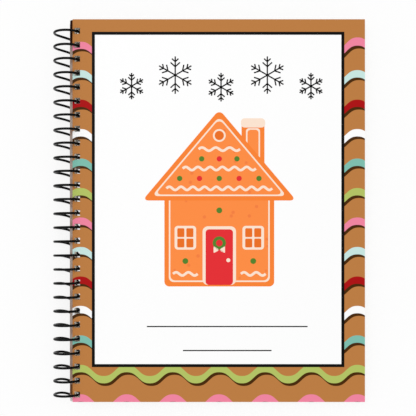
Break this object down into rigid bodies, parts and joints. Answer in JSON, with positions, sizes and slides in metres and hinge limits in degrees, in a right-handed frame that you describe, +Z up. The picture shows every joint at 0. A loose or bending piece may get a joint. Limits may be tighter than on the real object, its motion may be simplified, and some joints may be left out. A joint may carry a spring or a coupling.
{
  "type": "gift card book",
  "caption": "Coil-bound book of card-stock leaves, each with a glued card pocket, between a printed cover and a back board; leaves and cover turn on the coil.",
  "frame": {"origin": "bottom centre of the book as it lies flat: the middle of its outline, on the table", "axes": "+X from the coil to the fore edge, +Y to the head of the page, +Z up through the front cover"},
  "size_m": [0.142, 0.1738, 0.0127],
  "materials": {
    "coil_wire": "satin",
    "back_board": "matt",
    "printed_cover": "satin",
    "leaf_stock": "matt",
    "pocket_stock": "matt"
  },
  "bodies": {
    "binding": {"binding_coil": "coil_wire", "back_cover": "back_board"},
    "leaf_1": {"leaf_1": "leaf_stock", "pocket_flaps_1": "pocket_stock", "pocket_panel_1": "pocket_stock"},
    "leaf_2": {"leaf_2": "leaf_stock", "pocket_flaps_2": "pocket_stock", "pocket_panel_2": "pocket_stock"},
    "leaf_3": {"leaf_3": "leaf_stock", "pocket_flaps_3": "pocket_stock", "pocket_panel_3": "pocket_stock"},
    "leaf_4": {"leaf_4": "leaf_stock", "pocket_flaps_4": "pocket_stock", "pocket_panel_4": "pocket_stock"},
    "leaf_5": {"leaf_5": "leaf_stock", "pocket_flaps_5": "pocket_stock", "pocket_panel_5": "pocket_stock"},
    "leaf_6": {"leaf_6": "leaf_stock", "pocket_flaps_6": "pocket_stock", "pocket_panel_6": "pocket_stock"},
    "front_cover": {"front_cover": "printed_cover"}
  },
  "joints": [
    {"name": "leaf_1_turn", "type": "hinge", "parent": "binding", "child": "leaf_1", "pos_m": [-0.06465, 0, 0.00635], "axis": [0, -1, 0], "range_deg": [0, 180]},
    {"name": "leaf_2_turn", "type": "hinge", "parent": "leaf_1", "child": "leaf_2", "pos_m": [-0.06465, 0, 0.00635], "axis": [0, -1, 0], "range_deg": [0, 180]},
    {"name": "leaf_3_turn", "type": "hinge", "parent": "leaf_2", "child": "leaf_3", "pos_m": [-0.06465, 0, 0.00635], "axis": [0, -1, 0], "range_deg": [0, 180]},
    {"name": "leaf_4_turn", "type": "hinge", "parent": "leaf_3", "child": "leaf_4", "pos_m": [-0.06465, 0, 0.00635], "axis": [0, -1, 0], "range_deg": [0, 180]},
    {"name": "leaf_5_turn", "type": "hinge", "parent": "leaf_4", "child": "leaf_5", "pos_m": [-0.06465, 0, 0.00635], "axis": [0, -1, 0], "range_deg": [0, 180]},
    {"name": "leaf_6_turn", "type": "hinge", "parent": "leaf_5", "child": "leaf_6", "pos_m": [-0.06465, 0, 0.00635], "axis": [0, -1, 0], "range_deg": [0, 180]},
    {"name": "front_cover_turn", "type": "hinge", "parent": "leaf_6", "child": "front_cover", "pos_m": [-0.06465, 0, 0.00635], "axis": [0, -1, 0], "range_deg": [0, 180]}
  ]
}
